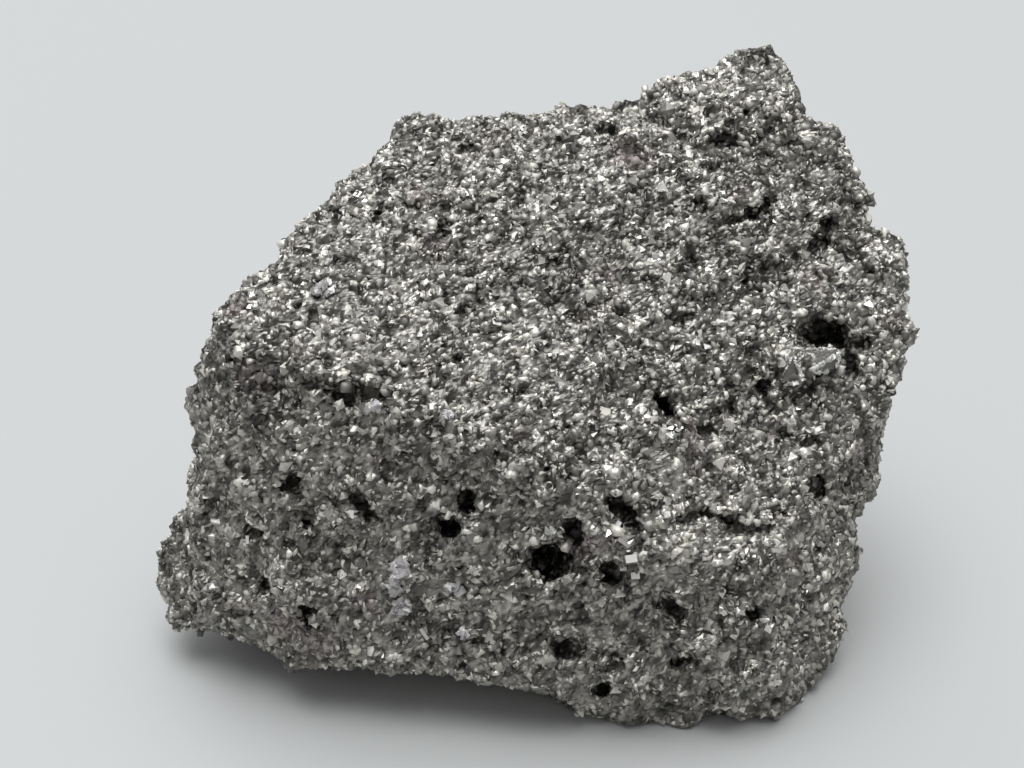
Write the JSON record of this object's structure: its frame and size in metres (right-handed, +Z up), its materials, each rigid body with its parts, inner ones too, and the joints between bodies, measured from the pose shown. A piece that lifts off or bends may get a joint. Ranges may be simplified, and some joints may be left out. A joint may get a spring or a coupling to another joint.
{
  "type": "pyrite cluster",
  "caption": "Rough hand-sized block of granular grey pyrite with a sloping top, a small peak at the back right, a pitted front and a flat face to rest on.",
  "frame": {"origin": "on the plane of the resting face, below the middle of the lump's box", "axes": "+X to the right along the longest side, -Y towards the low pitted front, +Z up"},
  "size_m": [0.0914, 0.0622, 0.0638],
  "materials": {
    "pyrite": "satin"
  },
  "bodies": {
    "root": {"pyrite_cluster": "pyrite"}
  },
  "joints": []
}
